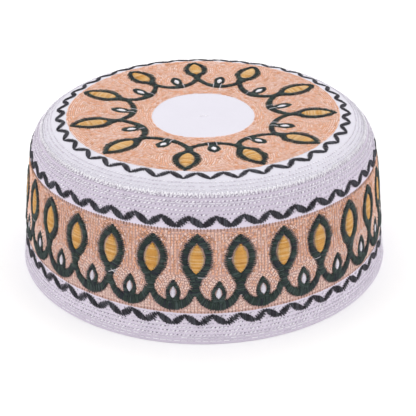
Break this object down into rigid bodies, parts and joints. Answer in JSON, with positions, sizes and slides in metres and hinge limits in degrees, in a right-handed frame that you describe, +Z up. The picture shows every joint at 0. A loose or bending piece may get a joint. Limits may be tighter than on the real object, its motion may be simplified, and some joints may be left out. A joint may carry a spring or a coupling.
{
  "type": "kufi",
  "caption": "Stiff round brimless cap with a flat crown, rounded shoulder and embroidered side band, open below for the head.",
  "frame": {"origin": "middle of the lower edge, on the surface that the cap stands on", "axes": "+Z up through the middle of the crown, -Y towards the viewer of the picture"},
  "size_m": [0.186, 0.186, 0.073],
  "materials": {
    "crown_cotton": "matte white cotton with a lavender cast, quilted in close concentric rows",
    "band_cotton": "matte white cotton with a lavender cast, quilted in close level rows",
    "white_thread": "matte white sewing cotton, in quilting rows, the seam's overcast stitches and the small leaf centres",
    "peach_thread": "soft peach embroidery thread in rows of short running stitches",
    "green_thread": "dark green rayon satin stitch with a soft sheen",
    "yellow_thread": "golden yellow rayon satin stitch with a soft sheen",
    "charcoal_thread": "charcoal satin stitch with a soft sheen"
  },
  "bodies": {
    "root": {"crown": "crown_cotton", "side_band": "band_cotton"}
  },
  "joints": []
}
